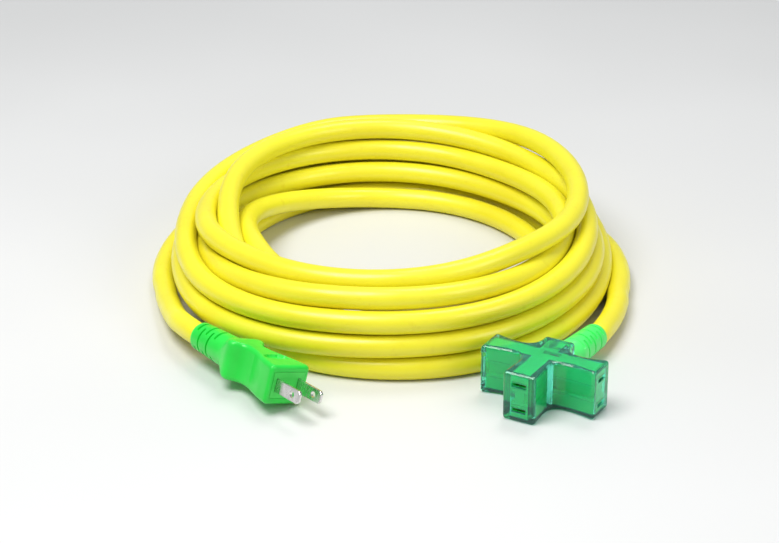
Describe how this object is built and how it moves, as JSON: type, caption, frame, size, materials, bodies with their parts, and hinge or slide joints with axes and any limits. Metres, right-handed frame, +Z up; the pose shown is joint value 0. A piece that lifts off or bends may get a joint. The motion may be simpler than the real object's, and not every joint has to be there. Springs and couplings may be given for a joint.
{
  "type": "extension cord",
  "caption": "Coiled round-cable extension cord with a moulded two-blade plug and a clear three-outlet tap.",
  "frame": {"origin": "on the surface that the cord lies on, midway between the plug and the tap, measured without the free cord", "axes": "+Z up; +X from the plug towards the tap; -Y to the side that the plug's blades and the tap's front outlet face, with the coil at +Y"},
  "size_m": [0.2341, 0.2929, 0.047],
  "materials": {
    "green_moulding": "satin moulded",
    "clear_green_moulding": "polished clear moulded",
    "inner_green": "satin moulded",
    "yellow_sheath": "soft satin",
    "nickel_plate": "plated, lightly brushed",
    "brass": "stamped",
    "copper_strands": "bare copper",
    "black_core": "satin",
    "white_core": "satin",
    "lamp_glass": "glossy",
    "resistor": "satin"
  },
  "bodies": {
    "root": {"cord_coil": "yellow_sheath", "cord_tail_plug": "yellow_sheath", "cord_tail_tap": "yellow_sheath", "plug_blade_left": "nickel_plate", "plug_blade_right": "nickel_plate", "plug_body": "green_moulding", "plug_cable_end": "yellow_sheath", "plug_core_black": "black_core", "plug_core_white": "white_core", "plug_inner_block": "green_moulding", "plug_strands_black": "copper_strands", "plug_strands_white": "copper_strands", "tap_barrier": "inner_green", "tap_bus_lower": "brass", "tap_bus_upper": "brass", "tap_cable_end": "yellow_sheath", "tap_carrier_lower": "inner_green", "tap_carrier_upper": "inner_green", "tap_clip_front_lower": "brass", "tap_clip_front_upper": "brass", "tap_clip_left_lower": "brass", "tap_clip_left_upper": "brass", "tap_clip_right_lower": "brass", "tap_clip_right_upper": "brass", "tap_cord_guard": "inner_green", "tap_core_black": "black_core", "tap_core_white": "white_core", "tap_lamp_lead_lower": "copper_strands", "tap_lamp_lead_short": "copper_strands", "tap_lamp_lead_upper": "copper_strands", "tap_lamp_resistor": "resistor", "tap_pilot_lamp": "lamp_glass", "tap_shell": "clear_green_moulding", "tap_strands_black": "copper_strands", "tap_strands_white": "copper_strands"}
  },
  "joints": []
}
